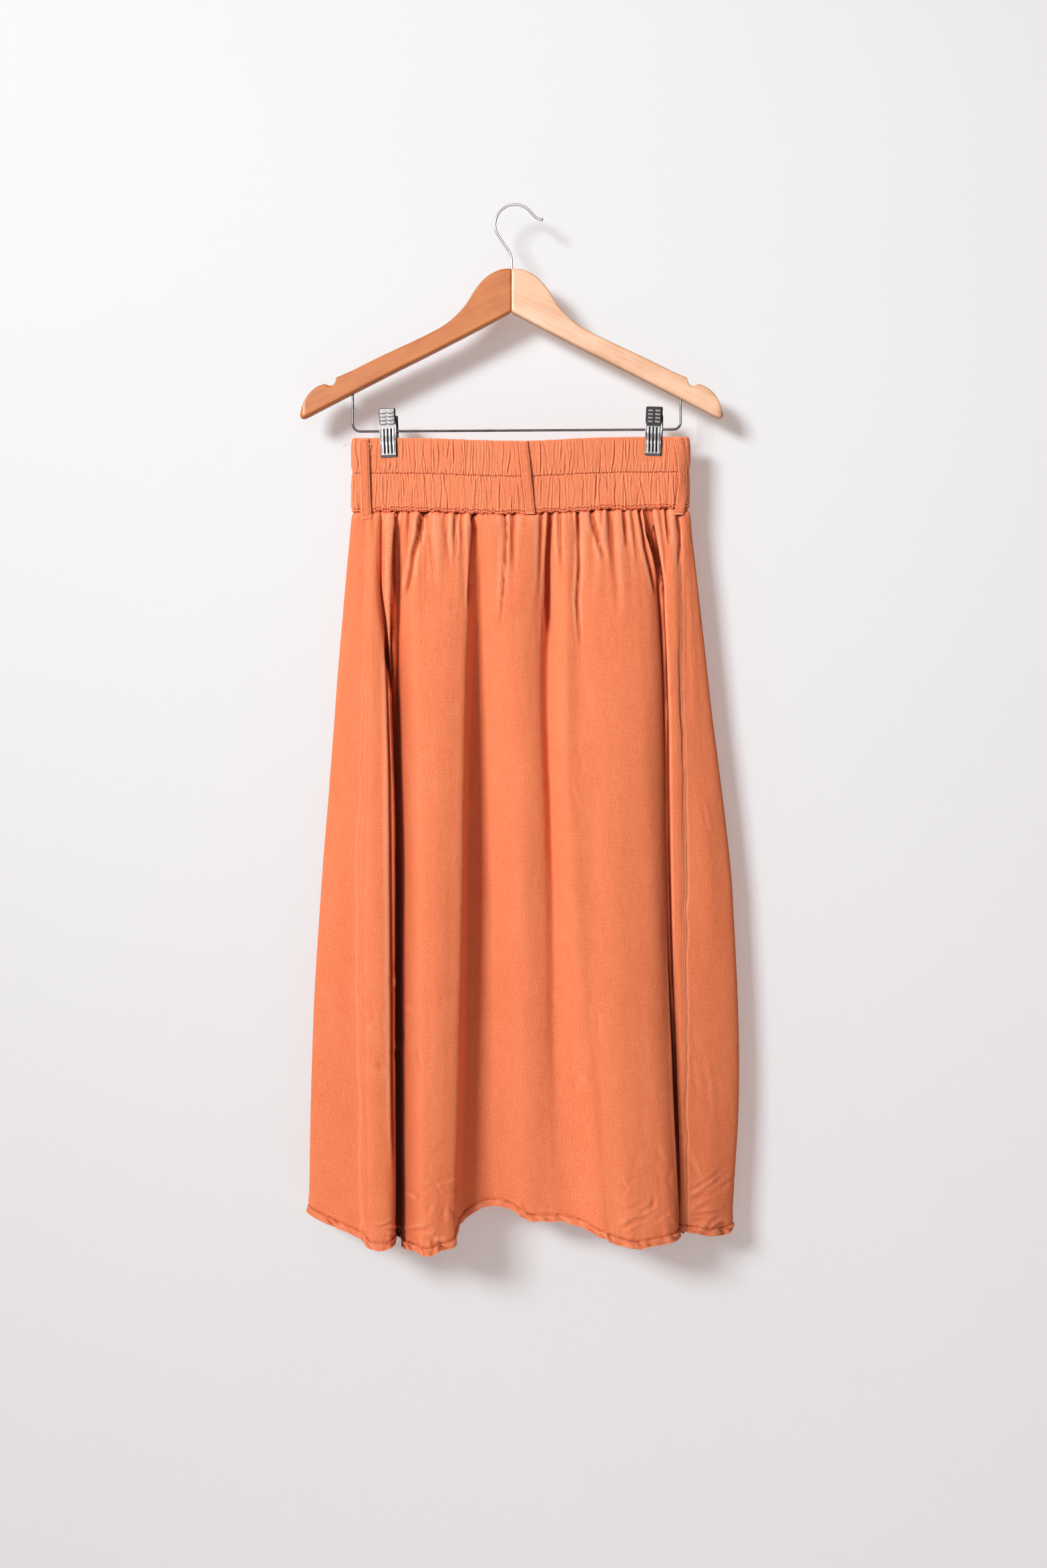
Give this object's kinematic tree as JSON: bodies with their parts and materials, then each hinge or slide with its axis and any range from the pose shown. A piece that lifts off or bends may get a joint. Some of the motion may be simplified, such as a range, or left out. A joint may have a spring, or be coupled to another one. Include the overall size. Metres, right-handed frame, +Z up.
{
  "type": "linen skirt on a wooden clip hanger",
  "caption": "Long gathered linen skirt with an elastic waistband and belt loops, hung flat by its waistband from a wooden hanger with a wire bar and sprung clips.",
  "frame": {"origin": "the point inside the top of the hook that rests on its nail or rail", "axes": "+Z up, +X to the viewer's right, +Y towards the wall, so the shown side faces -Y"},
  "size_m": [0.4591, 0.082, 1.0868],
  "materials": {
    "linen": "matte plain-weave linen in rust orange",
    "gathered_linen": "the same linen, gathered over two elastic channels",
    "loop_linen": "the same linen, folded, pressed and topstitched, pale at its worn edges",
    "wood": "clear-varnished pale beech",
    "wire": "bright plated steel wire",
    "clip_plate": "bright plated pressed steel",
    "spring": "dark spring steel"
  },
  "bodies": {
    "root": {"skirt_panel_shown": "linen", "skirt_panel_hidden": "linen", "waistband_shown": "gathered_linen", "waistband_hidden": "gathered_linen", "belt_loop_left": "loop_linen", "belt_loop_centre": "loop_linen", "belt_loop_right": "loop_linen", "hanger_arm_left": "wood", "hanger_arm_right": "wood", "hanger_hook": "wire", "trouser_bar": "wire", "clip_left_front": "clip_plate", "clip_left_rear": "clip_plate", "clip_left_spring": "spring", "clip_right_front": "clip_plate", "clip_right_rear": "clip_plate", "clip_right_spring": "spring"}
  },
  "joints": []
}
